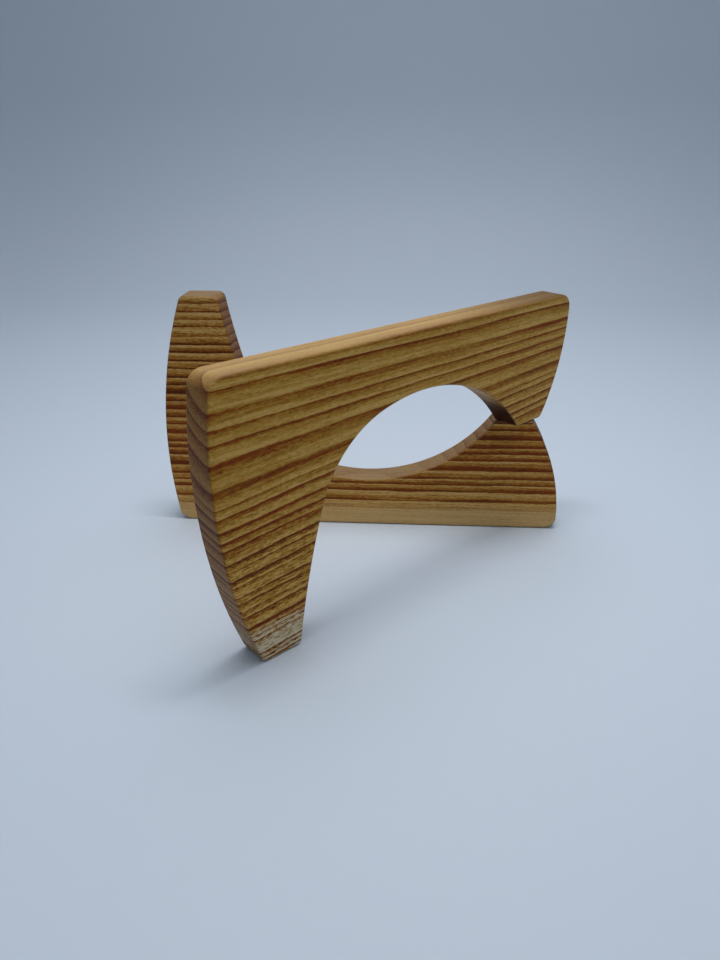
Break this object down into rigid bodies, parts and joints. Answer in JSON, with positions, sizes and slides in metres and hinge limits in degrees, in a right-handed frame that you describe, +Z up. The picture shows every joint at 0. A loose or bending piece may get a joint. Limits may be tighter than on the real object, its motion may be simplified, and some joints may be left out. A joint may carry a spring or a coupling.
{
  "type": "stacked pair of boomerang-shaped wooden stand pieces",
  "caption": "Boomerang-shaped solid ash pieces with one tall and one short leg, stacked on edge: one stands legs up, its twin is turned over and rests tip on tip.",
  "frame": {"origin": "middle of the straight edge that the standing piece rests on, at the middle of its thickness", "axes": "+Z up; +X along the standing piece's straight edge, from its tall leg to its short leg; the leaning piece is on the -Y side"},
  "size_m": [0.2541, 0.1953, 0.15],
  "materials": {
    "standing_ash": "oiled satin",
    "leaning_ash": "oiled satin"
  },
  "bodies": {
    "standing": {"standing_piece": "standing_ash"},
    "leaning": {"leaning_piece": "leaning_ash"}
  },
  "joints": [
    {"name": "lift_off", "type": "slide", "parent": "standing", "child": "leaning", "axis": [0, 0, 1], "range_m": [0, 0.16]}
  ]
}
